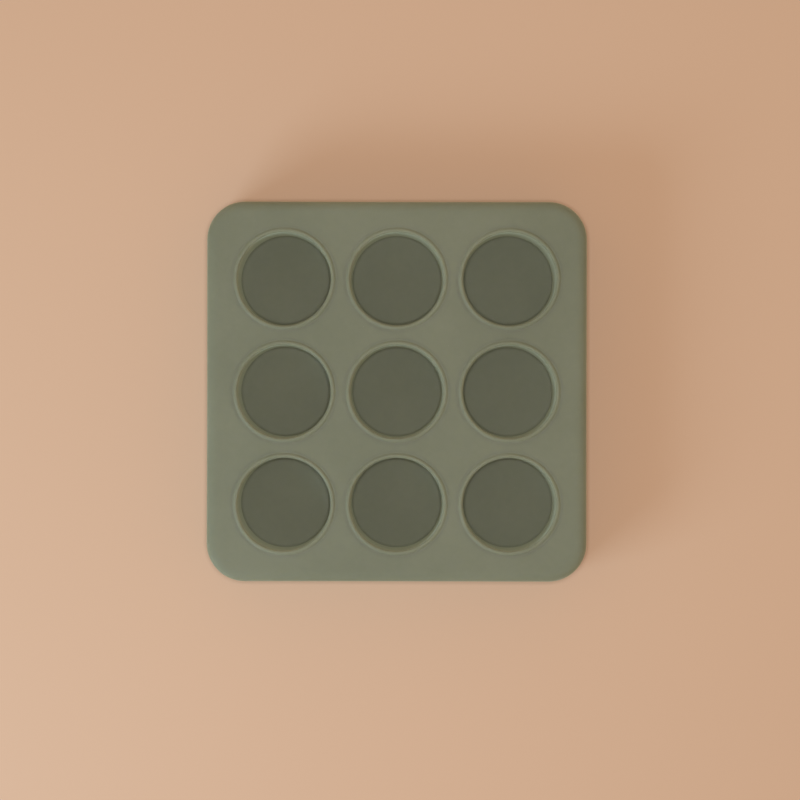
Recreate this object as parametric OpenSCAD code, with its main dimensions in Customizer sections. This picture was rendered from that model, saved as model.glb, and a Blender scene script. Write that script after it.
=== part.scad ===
// Baby food freezer tray: one square silicone moulding with three rows of three deep round cups.
// A portion is pushed out by pressing the underside of its cup, so each cup's floor is a panel of
// its own that moves up. Millimetres, +Z up; the origin is the middle of the base, on the table.

/* [Tray] */
// Side of the square tray, measured outside
tray_side = 200; // [180:1:240]
// Overall height, from the table to the crest of the cup lips
tray_h = 45; // [38:1:60]
// Radius of the tray's corners, seen from above
corner_r = 20; // [12:0.5:30]
// Radius that rounds the deck over into the skirt
edge_r = 3.5; // [1.5:0.5:5]
// Thickness of the deck between the cups
deck_t = 2.5; // [1.5:0.1:4]
// Thickness of the skirt
skirt_t = 2.5; // [1.5:0.1:4]
// Radius inside, where the skirt meets the underside of its rim
inner_edge_r = 1.5; // [0.5:0.25:2.5]
// Width of the flat rim that the skirt carries round the deck, with its rounded edge
rim_w = 7; // [6.5:0.5:9]

/* [Cups] */
// Width of plain deck between the tray's side and the lips of the outer cups
border_w = 13.9; // [11:0.1:20]
// Width of plain deck between the lips of neighbouring cups
web_w = 5.7; // [2:0.1:12]
// How much smaller the radius is at the floor than at the mouth
cup_taper = 0.5; // [0.2:0.1:3]
// Thickness of a cup's wall
wall_t = 2; // [1.2:0.1:2.5]
// Thickness of a cup's floor
floor_t = 2; // [1.2:0.1:3]
// Radius inside a cup, where the wall meets the floor
fillet_r = 1.5; // [1:0.5:6]
// Gap between the underside of the cups and the table
foot_gap = 1; // [0.5:0.1:3]

/* [Lips] */
// Height of the raised lip round each mouth
lip_h = 0.5; // [0.3:0.1:1]
// Width of the lip, from the mouth outwards
lip_w = 2.3; // [2:0.1:4]

/* [Floor panels] */
// Gap between a floor panel and the wall's ring round it
panel_gap = 0.25; // [0.15:0.05:0.5]

/* [Hidden] */
$fn = 96;
cups_across = 3;
cup_count = cups_across * cups_across;
cup_numbers = [1 : cup_count];

sage = [0.47, 0.48, 0.40];
dark_sage = [0.36, 0.38, 0.31];

// Heights of the faces that the pieces share
deck_z = tray_h - lip_h;
deck_bottom_z = deck_z - deck_t;
floor_z = foot_gap + floor_t;

// The cups fill the deck between its borders: lip foot, distance between axes, and mouth
lip_foot_r = (tray_side - 2 * border_w - (cups_across - 1) * web_w) / (2 * cups_across);
cup_pitch = 2 * lip_foot_r + web_w;
mouth_r = lip_foot_r - lip_w;

// The wall's outside at mouth and floor, and the deck's holes that it fills
collar_r = mouth_r + wall_t;
floor_r = mouth_r - cup_taper;
base_r = floor_r + wall_t;

// The lip: round from the wall up to its crest, then a flatter arc down to the deck
lip_round_r = lip_w / 2;
lip_slope_r = (lip_round_r * lip_round_r + lip_h * lip_h) / (2 * lip_h);
crest_r = mouth_r + lip_round_r;
mouth_z = tray_h - lip_round_r;

// The deck inside the rim, and how far a cut runs past the face that it opens
deck_side = tray_side - 2 * rim_w;
past = 1;

// Lean of a cup side that runs from bottom_r up to top_r
function lean(bottom_r, top_r, rise) = atan((top_r - bottom_r) / rise);

// Where the flat bottom of such a cup ends and its corner of radius round_r begins
function flat_r(bottom_r, angle, round_r) =
    bottom_r + round_r * tan(angle) - round_r / cos(angle);

// Radius of the opening in a wall's foot, and of the panel in it
ring_r = flat_r(floor_r, lean(floor_r, mouth_r, mouth_z - floor_z), fillet_r);
panel_r = ring_r - panel_gap;

// Square with round corners, centred on the origin
module rounded_square(side, round_r) {
    corner = side / 2 - round_r;
    square([side, side - 2 * round_r], center = true);
    square([side - 2 * round_r, side], center = true);
    for (x = [-corner, corner])
        for (y = [-corner, corner])
            translate([x, y]) circle(r = round_r);
}

// Half section of a solid tapered cup with a round bottom corner
module cup_section(bottom_r, top_r, bottom_z, top_z, round_r) {
    angle = lean(bottom_r, top_r, top_z - bottom_z);
    centre_r = flat_r(bottom_r, angle, round_r);
    centre_z = bottom_z + round_r;
    polygon([
        [0, bottom_z],
        [centre_r, bottom_z],
        [centre_r + round_r * cos(angle), centre_z - round_r * sin(angle)],
        [top_r, top_z],
        [0, top_z]
    ]);
    translate([centre_r, centre_z]) circle(r = round_r);
}

// Section of the skirt: the wall, the rounded top edge and the flat rim, out to the radius outer
module skirt_section(outer) {
    rim_start = outer - rim_w;
    difference() {
        union() {
            translate([rim_start, 0]) square([rim_w, deck_z - edge_r]);
            translate([rim_start, 0]) square([rim_w - edge_r, deck_z]);
            translate([outer - edge_r, deck_z - edge_r]) circle(r = edge_r);
        }
        translate([rim_start - past, -past])
            square([rim_w - skirt_t + past, deck_bottom_z - inner_edge_r + past]);
        translate([rim_start - past, -past])
            square([rim_w - skirt_t - inner_edge_r + past, deck_bottom_z + past]);
        translate([outer - skirt_t - inner_edge_r, deck_bottom_z - inner_edge_r])
            circle(r = inner_edge_r);
    }
}

// Half section of the raised lip and the collar under it, which fills the deck's hole
module lip_section() {
    difference() {
        union() {
            translate([crest_r, mouth_z]) circle(r = lip_round_r);
            intersection() {
                translate([crest_r, tray_h - lip_slope_r]) circle(r = lip_slope_r);
                translate([crest_r, deck_z]) square([lip_w, lip_h + past]);
            }
            translate([crest_r, deck_bottom_z]) square([lip_w, deck_t]);
        }
        translate([collar_r, 0]) square([lip_w + past, deck_z]);
    }
}

// Place of cup number i: row by row from the back left
module at_cup(i) {
    column = (i - 1) % cups_across;
    row = floor((i - 1) / cups_across);
    middle = (cups_across - 1) / 2;
    translate([(column - middle) * cup_pitch, (middle - row) * cup_pitch, 0]) children();
}

// Flat top of the tray, with a hole for every cup
module deck() {
    color(sage) translate([0, 0, deck_bottom_z]) difference() {
        linear_extrude(deck_t) rounded_square(deck_side, corner_r - rim_w);
        for (i = cup_numbers)
            at_cup(i) translate([0, 0, -past]) cylinder(r = collar_r, h = deck_t + 2 * past);
    }
}

// Outer wall that the tray stands on: four straight sides and four round corners of one section
module skirt() {
    straight = tray_side - 2 * corner_r;
    corner = tray_side / 2 - corner_r;
    color(sage) for (side = [0 : 3]) rotate([0, 0, 90 * side]) {
        translate([0, straight / 2, 0]) rotate([90, 0, 0])
            linear_extrude(straight) skirt_section(tray_side / 2);
        translate([corner, corner, 0]) rotate_extrude(angle = 90) skirt_section(corner_r);
    }
}

// Tapered wall of a cup with its raised lip, its round foot and the opening for the floor panel
module cup_wall(i) {
    color(sage) at_cup(i) rotate_extrude() difference() {
        union() {
            cup_section(base_r, collar_r, foot_gap, deck_bottom_z, fillet_r + wall_t);
            translate([0, deck_bottom_z]) square([collar_r, mouth_z - deck_bottom_z]);
            lip_section();
        }
        cup_section(floor_r, mouth_r, floor_z, mouth_z, fillet_r);
        square([ring_r, floor_z]);
    }
}

// Flat floor of a cup, which a thumb pushes up from below
module cup_floor(i) {
    color(dark_sage) at_cup(i) translate([0, 0, foot_gap]) cylinder(r = panel_r, h = floor_t);
}

deck();
skirt();
for (i = cup_numbers) cup_wall(i);
for (i = cup_numbers) cup_floor(i);
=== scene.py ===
# %% [markdown]
# # A silicone tray for freezing baby food
# The real tray is one piece of soft silicone: a flat deck, nine deep cups, a thin raised lip
# round each mouth, and a skirt that stands on the table. This lesson dresses its solid frame in
# smooth skins and a matte rubber finish. First the frame comes in. It is never moved: all that
# follows takes its sizes from it.

# %% Load the frame
import math
import bmesh
import bpy
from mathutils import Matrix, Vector


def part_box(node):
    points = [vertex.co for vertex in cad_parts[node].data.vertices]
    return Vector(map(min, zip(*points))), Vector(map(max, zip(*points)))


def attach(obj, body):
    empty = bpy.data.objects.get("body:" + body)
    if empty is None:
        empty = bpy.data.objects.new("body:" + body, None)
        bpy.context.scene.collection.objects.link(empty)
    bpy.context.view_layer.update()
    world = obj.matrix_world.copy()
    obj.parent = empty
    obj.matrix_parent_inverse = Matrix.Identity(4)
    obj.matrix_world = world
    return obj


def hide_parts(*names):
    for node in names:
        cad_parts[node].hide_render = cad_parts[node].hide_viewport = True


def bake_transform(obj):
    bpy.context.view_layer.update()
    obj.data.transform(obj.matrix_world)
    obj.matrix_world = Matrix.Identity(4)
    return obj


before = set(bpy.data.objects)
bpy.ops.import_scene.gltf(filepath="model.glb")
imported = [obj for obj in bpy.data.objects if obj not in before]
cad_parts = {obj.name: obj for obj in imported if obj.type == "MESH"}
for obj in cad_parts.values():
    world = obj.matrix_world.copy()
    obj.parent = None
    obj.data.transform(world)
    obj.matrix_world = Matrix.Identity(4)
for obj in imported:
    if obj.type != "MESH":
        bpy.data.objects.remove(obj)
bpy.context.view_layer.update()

# %% [markdown]
# ## Measures
# Every size is read off the frame where it can be, so the skins fit whatever size it has. The
# few that a box can't tell, such as how thick the walls are, are written here once, in metres.

# %% Take the tray's measures
MM = 0.001
CUPS = range(1, 10)
skirt_low, skirt_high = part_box("skirt")
deck_low, deck_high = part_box("deck")
wall_low, wall_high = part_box("cup_wall_1")
floor_low, floor_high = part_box("cup_floor_1")

half_side = skirt_high.x
deck_z, deck_under_z = deck_high.z, deck_low.z
lip_z, lip_foot_r = wall_high.z, (wall_high.x - wall_low.x) / 2
floor_z, floor_under_z = floor_high.z, floor_low.z
foot_z = skirt_low.z
corner_r = 20 * MM
skirt_t = 2.5 * MM


def middle(node):
    """The upright axis of a node, as x and y."""
    low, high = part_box(node)
    return (low.x + high.x) / 2, (low.y + high.y) / 2


cup_places = {i: middle(f"cup_wall_{i}") for i in CUPS}
pitch = cup_places[2][0] - cup_places[1][0]
print("side", round(2 * half_side / MM, 2), "deck at", round(deck_z / MM, 2))
print("pitch", round(pitch / MM, 2))

# %% [markdown]
# ## Camera
# The picture was taken from almost straight above. Very little of the outer cups' walls shows in
# it, so the camera hangs well away, where the view into every cup is nearly the same. Its distance
# is a choice, because a flat tray seen from above doesn't tell it. Its aim is found from the place
# of the tray's middle in the picture.

# %% Hang the camera over the tray
PHOTO_SIDE = 800
PHOTO_MM_PER_PIXEL = 0.526
SENSOR_MM = 36
camera_height = 2.4
camera_roll = math.radians(0.1)
tray_middle_pixel = (396.8, 391.6)

scene = bpy.context.scene
camera = bpy.data.objects.new("camera", bpy.data.cameras.new("camera"))
scene.collection.objects.link(camera)
scene.camera = camera
camera.data.sensor_width = SENSOR_MM
camera.data.lens = SENSOR_MM * camera_height / (PHOTO_SIDE * PHOTO_MM_PER_PIXEL * MM)
aim_x = (PHOTO_SIDE / 2 - tray_middle_pixel[0]) * PHOTO_MM_PER_PIXEL * MM
aim_y = (tray_middle_pixel[1] - PHOTO_SIDE / 2) * PHOTO_MM_PER_PIXEL * MM
camera.location = (aim_x, aim_y, deck_z + camera_height)
camera.rotation_euler = (0, 0, camera_roll)
print("lens", round(camera.data.lens, 1), "mm")
print("aimed at", round(aim_x / MM, 1), round(aim_y / MM, 1), "mm")

# %% [markdown]
# ## Shader sums
# A finish is a sum of patterns, and sums read best as sums. This small class stands for one
# socket of a material, and adds a Math node for each operator used on it. Every other node comes
# from the one method of the class below it.

# %% A socket that can be added and multiplied
class Socket:
    """One output of a node tree, with Python's operators for sums on single numbers."""

    def __init__(self, graph, socket):
        self.graph = graph
        self.socket = socket

    def sum_of(self, operation, first, second):
        return self.graph.add("ShaderNodeMath", {"operation": operation}, {0: first, 1: second})

    def __add__(self, other):
        return self.sum_of("ADD", self, other)

    def __radd__(self, other):
        return self.sum_of("ADD", other, self)

    def __sub__(self, other):
        return self.sum_of("SUBTRACT", self, other)

    def __mul__(self, other):
        return self.sum_of("MULTIPLY", self, other)


# %% A material's graph, with one way to add a node
class Graph:
    """The node tree of a new material."""

    def __init__(self, name):
        self.material = bpy.data.materials.new(name)
        self.material.use_nodes = True
        self.tree = self.material.node_tree
        self.shader = self.tree.nodes["Principled BSDF"]

    def add(self, kind, settings, inputs, output=0):
        """Adds a node: its settings first, then its sockets. Gives one of its outputs."""
        node = self.tree.nodes.new(kind)
        for name, value in settings.items():
            if name == "stops":
                self.set_stops(node.color_ramp, value)
            else:
                setattr(node, name, value)
        for key, value in inputs.items():
            self.feed(node.inputs[key], value)
        return Socket(self, node.outputs[output])

    def set_stops(self, ramp, stops):
        """Gives a colour ramp its stops, as pairs of a place and a grey level."""
        for place, level in stops[2:]:
            ramp.elements.new(place)
        for element, (place, level) in zip(ramp.elements, stops):
            element.position = place
            element.color = (level, level, level, 1)

    def feed(self, target, value):
        """Links a socket, or sets a plain value."""
        if isinstance(value, Socket):
            self.tree.links.new(value.socket, target)
        else:
            target.default_value = value

    def mix(self, factor, first, second):
        """A colour between two colours."""
        sockets = {"Factor": factor, 6: first, 7: second}
        return self.add("ShaderNodeMix", {"data_type": "RGBA"}, sockets, output=2)

    def place(self):
        """The point of the surface, in the row frame."""
        return self.add("ShaderNodeTexCoord", {}, {}, output="Object")

    def clouds(self, size, detail=2.0, roughness=0.5):
        """Soft noise whose blobs are about that size, in metres."""
        inputs = {"Vector": self.place(), "Scale": 1 / size}
        inputs.update({"Detail": detail, "Roughness": roughness})
        return self.add("ShaderNodeTexNoise", {}, inputs)

    def ramp(self, value, stops):
        """A value bent through a colour ramp."""
        return self.add("ShaderNodeValToRGB", {"stops": stops}, {"Fac": value})


print("shader helpers ready")

# %% [markdown]
# ## The finish: matte sage silicone
# Moulded silicone is dull and a little powdery. Its pigment is almost even, but not quite: broad
# pale clouds, a fine grain from the mould, specks of dust that cling to it, and a slight polish
# where fingers rub the lips. A flat green would look like paint. Light also soaks a few
# millimetres into silicone and comes out beside where it went in, which softens the dark walls of
# the cups, and the powder gives surfaces seen at a slant a pale green sheen. The pattern is laid
# in the row frame, so that it runs on across pieces that touch.

# %% Mix the silicone
SAGE = (0.205, 0.212, 0.142, 1)
SAGE_PALE = (0.235, 0.240, 0.166, 1)
SAGE_DEEP = (0.178, 0.186, 0.122, 1)
DUST = (0.42, 0.41, 0.35, 1)
SHEEN_TINT = (0.62, 0.66, 0.47, 1)
SOAK_DEPTH = 2.5 * MM


def silicone():
    """Matte sage rubber with clouded pigment, moulded grain, dust and rubbed lips."""
    graph = Graph("sage_silicone")
    broad = graph.clouds(size=55 * MM, detail=3)
    fine = graph.clouds(size=4 * MM, detail=4, roughness=0.6)
    grain = graph.clouds(size=0.35 * MM, detail=2)
    tint = broad * 0.7 + fine * 0.3
    colour = graph.mix(graph.ramp(tint, [(0.35, 0), (0.65, 1)]), SAGE_DEEP, SAGE_PALE)
    colour = graph.mix(0.5, colour, SAGE)

    cell = {"Vector": graph.place(), "Scale": 1 / (5 * MM), "Randomness": 1.0}
    nearness = graph.add("ShaderNodeTexVoronoi", {}, cell, output="Distance")
    chance = graph.add("ShaderNodeTexVoronoi", {}, cell, output="Color")
    dot = graph.ramp(nearness, [(0.018, 1), (0.035, 0)])
    rare = graph.ramp(chance, [(0.60, 0), (0.64, 1)])
    speck = dot * rare
    colour = graph.mix(speck * 0.5, colour, DUST)

    height = graph.add("ShaderNodeSeparateXYZ", {}, {"Vector": graph.place()}, output="Z")
    span = {"Value": height, "From Min": deck_z + 0.2 * MM, "From Max": lip_z}
    rubbed = graph.add("ShaderNodeMapRange", {"clamp": True}, span)
    graph.feed(graph.shader.inputs["Base Color"], colour)
    graph.feed(graph.shader.inputs["Roughness"], 0.62 + fine * 0.12 + broad * 0.06 - rubbed * 0.08)

    relief = grain * 0.6 + fine * 0.4 + speck * 1.5
    bump = {"Strength": 0.12, "Distance": 0.15 * MM, "Height": relief}
    graph.feed(graph.shader.inputs["Normal"], graph.add("ShaderNodeBump", {}, bump))
    graph.shader.inputs["IOR"].default_value = 1.42
    graph.shader.inputs["Sheen Weight"].default_value = 0.55
    graph.shader.inputs["Sheen Roughness"].default_value = 0.5
    graph.shader.inputs["Sheen Tint"].default_value = SHEEN_TINT
    graph.shader.inputs["Subsurface Weight"].default_value = 1.0
    graph.shader.inputs["Subsurface Radius"].default_value = (1.0, 1.0, 0.7)
    graph.shader.inputs["Subsurface Scale"].default_value = SOAK_DEPTH
    return graph.material


sage_silicone = silicone()
print("finish:", sage_silicone.name, "with", len(sage_silicone.node_tree.nodes), "nodes")

# %% [markdown]
# ## Building with loops
# Both skins are closed sheets of silicone with an outside and an inside. The easiest way to make
# such a sheet is to lay loops of points along its section and to join each loop to the next with
# quads. A mould maker thinks the same way: one section, carried round. Neighbouring loops hold
# equally many points, so every face is a quad and shades smoothly.

# %% A sheet made of loops
AROUND = 120
QUARTER = AROUND // 4


class Sheet:
    """A mesh under construction: loops of points, and bands of quads between them."""

    def __init__(self):
        self.bm = bmesh.new()

    def loop(self, points):
        return [self.bm.verts.new(p) for p in points]

    def band(self, first, second):
        """Joins two closed loops of equally many points."""
        for k in range(len(first)):
            after = (k + 1) % len(first)
            self.bm.faces.new((first[k], first[after], second[after], second[k]))

    def bands(self, loops):
        """Joins each loop to the next, and gives the loops."""
        for first, second in zip(loops, loops[1:]):
            self.band(first, second)
        return loops

    def fan(self, loop, centre):
        """Closes a loop with triangles round one point."""
        tip = self.bm.verts.new(centre)
        for k in range(len(loop)):
            self.bm.faces.new((loop[k], loop[(k + 1) % len(loop)], tip))

    def finish(self, name, crease=()):
        """Makes the object. Edges between two points of a creased loop stay sharp."""
        bmesh.ops.remove_doubles(self.bm, verts=self.bm.verts, dist=1e-3 * MM)
        bmesh.ops.recalc_face_normals(self.bm, faces=self.bm.faces)
        for face in self.bm.faces:
            face.smooth = True
        kept = {v for v in crease if v.is_valid}
        for edge in self.bm.edges:
            edge.smooth = not (edge.verts[0] in kept and edge.verts[1] in kept)
        mesh = bpy.data.meshes.new(name)
        self.bm.to_mesh(mesh)
        self.bm.free()
        piece = bpy.data.objects.new(name, mesh)
        scene.collection.objects.link(piece)
        mesh.materials.append(sage_silicone)
        return piece


def arc(centre, radius, start, end, steps):
    """Points of an arc in a section, as (across, up) pairs. Angles are in degrees."""
    points = []
    for k in range(steps + 1):
        angle = math.radians(start + (end - start) * k / steps)
        points.append((centre[0] + radius * math.cos(angle), centre[1] + radius * math.sin(angle)))
    return points


def run(start, end, steps):
    """Points strictly between two points of a section."""
    return [tuple(a + (b - a) * k / steps for a, b in zip(start, end)) for k in range(1, steps)]


print("loops of", AROUND, "points")

# %% [markdown]
# ## Where the two skins meet
# The deck and its edge are one sheet, and each cup is another, because a cup's floor moves when
# it is pushed. They meet on a circle of the flat deck, just outside the lip. Both have the same
# points there and both are flat, so the joint can't be seen.

# %% Circles and squares with matching points
seam_r = lip_foot_r + 1.2 * MM


def circle(centre, radius, z):
    """A loop round a cup's axis that starts at its front right."""
    points = []
    for k in range(AROUND):
        angle = 2 * math.pi * k / AROUND - math.pi / 4
        x, y = radius * math.cos(angle), radius * math.sin(angle)
        points.append((centre[0] + x, centre[1] + y, z))
    return points


def turned(point, quarter_turns):
    """A point turned round the origin by quarter turns."""
    x, y = point
    for _ in range(quarter_turns):
        x, y = -y, x
    return x, y


def square(centre, half, z, per_side):
    """A loop on a square that starts at its front right corner."""
    points = []
    for side in range(4):
        for k in range(per_side):
            x, y = turned((half, -half + 2 * half * k / per_side), side)
            points.append((centre[0] + x, centre[1] + y, z))
    return points


print("seam radius", round(seam_r / MM, 2), "mm")

# %% [markdown]
# ## The tray's skin
# From the top: nine square cells with a round hole each, then rounded squares that run out over
# the edge, down the skirt, round its foot, up inside and back to the holes from below. The top
# edge isn't a plain quarter circle: the deck begins to fall away a little before it, as soft
# moulded edges do. The long sides bow by a fraction of a millimetre.

# %% Rounded squares for the skirt
PER_SIDE = 3 * QUARTER
CORNER_STEPS = 8


def rounded_square(inset, z, bow=0.0):
    """A loop that far inside the tray's outline. bow draws the middle of each side in."""
    radius = corner_r - inset
    straight = half_side - corner_r
    sides = PER_SIDE - 2 * CORNER_STEPS
    points = []
    for side in range(4):
        for k in range(PER_SIDE):
            if k < CORNER_STEPS or k > CORNER_STEPS + sides:
                past_corner = k if k < CORNER_STEPS else k - CORNER_STEPS - sides
                start = -45 if k < CORNER_STEPS else 0
                angle = math.radians(start + 45 * past_corner / CORNER_STEPS)
                centre_y = -straight if k < CORNER_STEPS else straight
                x, y = straight + radius * math.cos(angle), centre_y + radius * math.sin(angle)
            else:
                share = (k - CORNER_STEPS) / sides
                x, y = straight + radius, -straight + 2 * straight * share
                x -= bow * math.sin(math.pi * share)
            points.append((*turned((x, y), side), z))
    return points


# %% Section of the skirt, from the deck round to its underside
edge_w = 6.0 * MM
edge_h = 3.8 * MM
EDGE_ROUNDNESS = 2.25
EDGE_STEPS = 12
flat_margin = 1.5 * MM
foot_r = 0.7 * MM
inner_r = 2.0 * MM
side_bow = 0.25 * MM


def edge_point(share):
    """A point of the top edge: a quarter of a superellipse, flatter than a circle at the top."""
    angle = math.radians(90 * share)
    inset = edge_w * (1 - math.sin(angle) ** (2 / EDGE_ROUNDNESS))
    return inset, deck_z - edge_h * (1 - math.cos(angle) ** (2 / EDGE_ROUNDNESS))


def skirt_section():
    """The skirt as (inset, height) pairs: over the edge, down, round the foot and up inside."""
    section = [(edge_w + flat_margin, deck_z)]
    section += [edge_point(k / EDGE_STEPS) for k in range(EDGE_STEPS + 1)]
    section += run(section[-1], (0, foot_z + foot_r), 9)
    section += [(foot_r - x, foot_z + foot_r + z) for x, z in arc((0, 0), foot_r, 0, -90, 4)]
    section += [(x, foot_z + foot_r + z) for x, z in arc((skirt_t - foot_r, 0), foot_r, -90, 0, 4)]
    inner_corner = (skirt_t + inner_r, deck_under_z - inner_r)
    section += run(section[-1], (skirt_t, inner_corner[1]), 9)
    section += arc(inner_corner, inner_r, 180, 90, 6)
    return section


def bow_at(z):
    """How far the sides are drawn in at a height: most half way up, nothing at the edges."""
    return side_bow * math.sin(math.pi * (z - foot_z) / (deck_z - foot_z))


# %% Make the tray's skin
def cells(sheet, z):
    """Nine square cells at a height, each with its round hole. Gives the holes' loops."""
    holes = []
    for place in cup_places.values():
        hole = sheet.loop(circle(place, seam_r, z))
        edge = sheet.loop(square(place, pitch / 2, z, QUARTER))
        sheet.band(hole, edge)
        holes.append(hole)
    return holes


def tray_skin():
    sheet = Sheet()
    grid_half = 1.5 * pitch
    top_holes = cells(sheet, deck_z)
    under_holes = cells(sheet, deck_under_z)
    loops = [sheet.loop(square((0, 0), grid_half, deck_z, PER_SIDE))]
    loops += [sheet.loop(rounded_square(inset, z, bow_at(z))) for inset, z in skirt_section()]
    loops += [sheet.loop(square((0, 0), grid_half, deck_under_z, PER_SIDE))]
    sheet.bands(loops)
    for top, under in zip(top_holes, under_holes):
        sheet.band(top, under)
    rims = [v for hole in top_holes + under_holes for v in hole]
    return sheet.finish("tray_skin", crease=rims)


skin = tray_skin()
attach(skin, "tray")
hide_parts("deck", "skirt")
print("tray_skin:", len(skin.data.vertices), "points,", len(skin.data.polygons), "faces")

# %% [markdown]
# ## The cups
# A cup is one section turned round its axis: up from the deck over the lip, down the tapered
# wall, round the corner, across the floor, and back up the outside. The lip's foot is hollowed a
# little, because a mould has no sharp inner corners.

# %% Section of a cup
wall_t = 2.0 * MM
lip_w = 2.3 * MM
foot_hollow_r = 0.7 * MM
shoulder_r = 1.5 * MM
fillet_r = 1.5 * MM
lip_round_r = lip_w / 2
mouth_r = lip_foot_r - lip_w
cup_taper = 0.5 * MM
floor_r = mouth_r - cup_taper
lip_h = lip_z - deck_z
lip_slope_r = (lip_round_r ** 2 + lip_h ** 2) / (2 * lip_h)
crest_r = mouth_r + lip_round_r
mouth_z = lip_z - lip_round_r


def corner_centre(bottom_r, top_r, bottom_z, top_z, radius):
    """Centre of the round corner between a leaning wall and a floor, and the wall's lean."""
    lean = math.atan((top_r - bottom_r) / (top_z - bottom_z))
    across = bottom_r + radius * math.tan(lean) - radius / math.cos(lean)
    return (across, bottom_z + radius), math.degrees(lean)


def lip_section():
    """The lip from the deck over its crest to the wall, as (radius, height) pairs."""
    slope_centre = (crest_r, lip_z - lip_slope_r)
    reach = lip_slope_r + foot_hollow_r
    hollow_z = deck_z + foot_hollow_r
    hollow = (crest_r + math.sqrt(reach ** 2 - (hollow_z - slope_centre[1]) ** 2), hollow_z)
    meet = math.degrees(math.atan2(hollow[1] - slope_centre[1], hollow[0] - slope_centre[0]))
    section = arc(hollow, foot_hollow_r, 270, 180 + meet, 5)
    section += arc(slope_centre, lip_slope_r, meet, 90, 9)[1:]
    section += arc((crest_r, mouth_z), lip_round_r, 90, 180, 9)[1:]
    return section


def cup_section():
    """Inside and outside of a cup as (radius, height) pairs, from the deck's top down and back."""
    inner, inner_lean = corner_centre(floor_r, mouth_r, floor_z, mouth_z, fillet_r)
    outer_r = fillet_r + wall_t
    collar_r = mouth_r + wall_t
    base_r = floor_r + wall_t
    outer, outer_lean = corner_centre(base_r, collar_r, floor_under_z, deck_under_z, outer_r)
    section = [(seam_r, deck_z)] + lip_section()
    inner_corner = arc(inner, fillet_r, -inner_lean, -90, 8)
    section += run(section[-1], inner_corner[0], 16) + inner_corner
    section += [(inner[0] * share, floor_z) for share in (0.8, 0.6, 0.4, 0.2)]
    tip = len(section)
    section += [(outer[0] * share, floor_under_z) for share in (0.2, 0.4, 0.6, 0.8)]
    outer_corner = arc(outer, outer_r, -90, -outer_lean, 8)
    shoulder = arc((collar_r + shoulder_r, deck_under_z - shoulder_r), shoulder_r, 180, 90, 6)
    section += outer_corner + run(outer_corner[-1], shoulder[0], 16) + shoulder
    section += [(seam_r, deck_under_z)]
    return section, tip


def cup_liner(i):
    sheet = Sheet()
    section, tip = cup_section()
    loops = [sheet.loop(circle(cup_places[i], radius, z)) for radius, z in section]
    sheet.bands(loops[:tip])
    sheet.bands(loops[tip:])
    sheet.fan(loops[tip - 1], (*cup_places[i], floor_z))
    sheet.fan(loops[tip], (*cup_places[i], floor_under_z))
    sheet.band(loops[0], loops[-1])
    return sheet.finish(f"cup_{i}", crease=loops[0] + loops[-1])


cups = [cup_liner(i) for i in CUPS]
for i, cup in zip(CUPS, cups):
    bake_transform(cup)
    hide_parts(f"cup_wall_{i}", f"cup_floor_{i}")
print("cups:", len(cups), "of", len(cups[0].data.vertices), "points each")

# %% [markdown]
# ## Table and light
# The tray lies on a plain, pale, warm table. Cool daylight comes from a window at the front left,
# and gives the lips their bright and dark halves. A smaller lamp high above the middle reaches the
# floors of all the cups alike, right up to their walls. The room round them is warm, so the
# shadows are warm too.

# %% Lay the table
TABLE_COLOUR = (0.605, 0.382, 0.247, 1)
TABLE_SIDE = 12.0


def table():
    graph = Graph("table")
    soft = graph.clouds(size=0.4, detail=2)
    pale = tuple(1.04 * c for c in TABLE_COLOUR[:3]) + (1,)
    graph.feed(graph.shader.inputs["Base Color"], graph.mix(soft, TABLE_COLOUR, pale))
    graph.shader.inputs["Roughness"].default_value = 0.6
    half = TABLE_SIDE / 2
    mesh = bpy.data.meshes.new("table")
    corners = [(-half, -half), (half, -half), (half, half), (-half, half)]
    mesh.from_pydata([(x, y, foot_z) for x, y in corners], [], [(0, 1, 2, 3)])
    mesh.materials.append(graph.material)
    piece = bpy.data.objects.new("table", mesh)
    scene.collection.objects.link(piece)
    return piece


table()
print("table laid at height", foot_z)

# %% Hang the lamps
def lamp(name, place, aim, width, power, colour):
    """A square soft lamp that shines from a place towards a point."""
    data = bpy.data.lights.new(name, "AREA")
    data.size = width
    data.energy = power
    data.color = colour
    light = bpy.data.objects.new(name, data)
    light.location = place
    light.rotation_euler = (Vector(aim) - Vector(place)).to_track_quat("-Z", "Y").to_euler()
    scene.collection.objects.link(light)


TABLE_MIDDLE = (0, 0, 0)
DAYLIGHT = (0.49, 0.75, 1.0)
OVERHEAD_LIGHT = (0.94, 0.97, 1.0)
ROOM_LIGHT = (1.0, 0.73, 0.43, 1)
ROOM_STRENGTH = 0.393

lamp("window", (-0.75, -0.54, 0.6), TABLE_MIDDLE, 0.5, 6.7, DAYLIGHT)
lamp("ceiling", (0, 0, 2.6), TABLE_MIDDLE, 0.25, 31.3, OVERHEAD_LIGHT)

world = bpy.data.worlds.new("sky")
scene.world = world
world.use_nodes = True
world.node_tree.nodes["Background"].inputs["Color"].default_value = ROOM_LIGHT
world.node_tree.nodes["Background"].inputs["Strength"].default_value = ROOM_STRENGTH
scene.view_settings.view_transform = "Standard"
